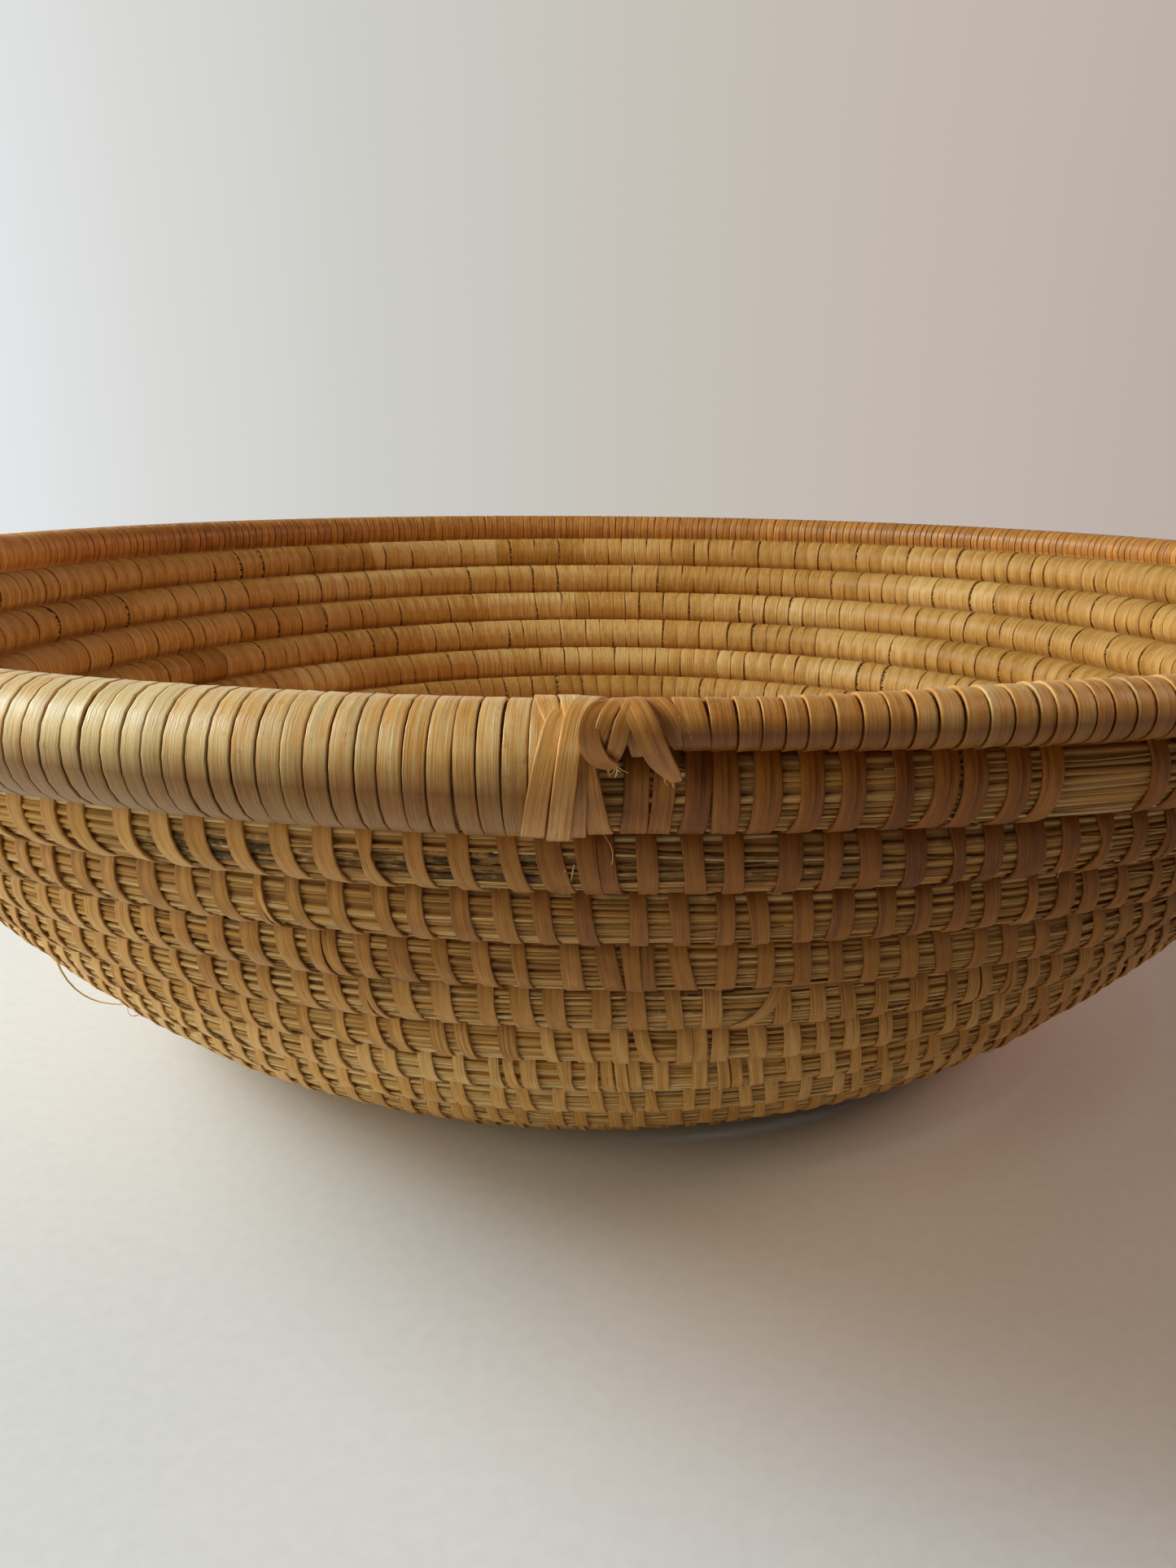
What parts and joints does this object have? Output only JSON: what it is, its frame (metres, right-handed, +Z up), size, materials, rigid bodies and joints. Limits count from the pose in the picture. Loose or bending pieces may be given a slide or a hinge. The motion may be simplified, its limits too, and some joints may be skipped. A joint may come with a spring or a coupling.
{
  "type": "fruit basket",
  "caption": "Wide shallow round bowl of coiled dry stems bound with flat strips, with a wrapped rim that tapers round to a lashed knot and a flat spiral base.",
  "frame": {"origin": "centre of the underside, on the surface the basket stands on", "axes": "+Z up out of the mouth, -Y towards the finishing knot"},
  "size_m": [0.3834, 0.3855, 0.1064],
  "materials": {
    "stems": "matt bundled dry stems with weathered grey and dark patches",
    "stitching": "satin flat split strips, honey brown",
    "rim_strips": "satin flat split strips, pale straw"
  },
  "bodies": {
    "root": {"start_button": "stitching", "base_coil_1": "stems", "base_coil_2": "stems", "base_coil_3": "stems", "base_coil_4": "stems", "base_coil_5": "stems", "base_coil_6": "stems", "base_coil_7": "stems", "base_stitching_1": "stitching", "base_stitching_2": "stitching", "base_stitching_3": "stitching", "base_stitching_4": "stitching", "base_stitching_5": "stitching", "base_stitching_6": "stitching", "base_stitching_7": "stitching", "wall_coil_1": "stems", "wall_coil_2": "stems", "wall_coil_3": "stems", "wall_coil_4": "stems", "wall_coil_5": "stems", "wall_coil_6": "stems", "wall_coil_7": "stems", "wall_coil_8": "stems", "wall_coil_9": "stems", "wall_coil_10": "stems", "wall_stitching_1": "stitching", "wall_stitching_2": "stitching", "wall_stitching_3": "stitching", "wall_stitching_4": "stitching", "wall_stitching_5": "stitching", "wall_stitching_6": "stitching", "wall_stitching_7": "stitching", "wall_stitching_8": "stitching", "wall_stitching_9": "stitching", "wall_stitching_10": "stitching", "rim_coil": "stems", "rim_wrapping": "rim_strips", "knot_long_lash_left": "rim_strips", "knot_long_lash_middle": "rim_strips", "knot_short_lash_right": "rim_strips", "knot_cross_strip_lower": "rim_strips", "knot_cross_strip_upper": "rim_strips", "knot_tail_strip": "rim_strips"}
  },
  "joints": []
}
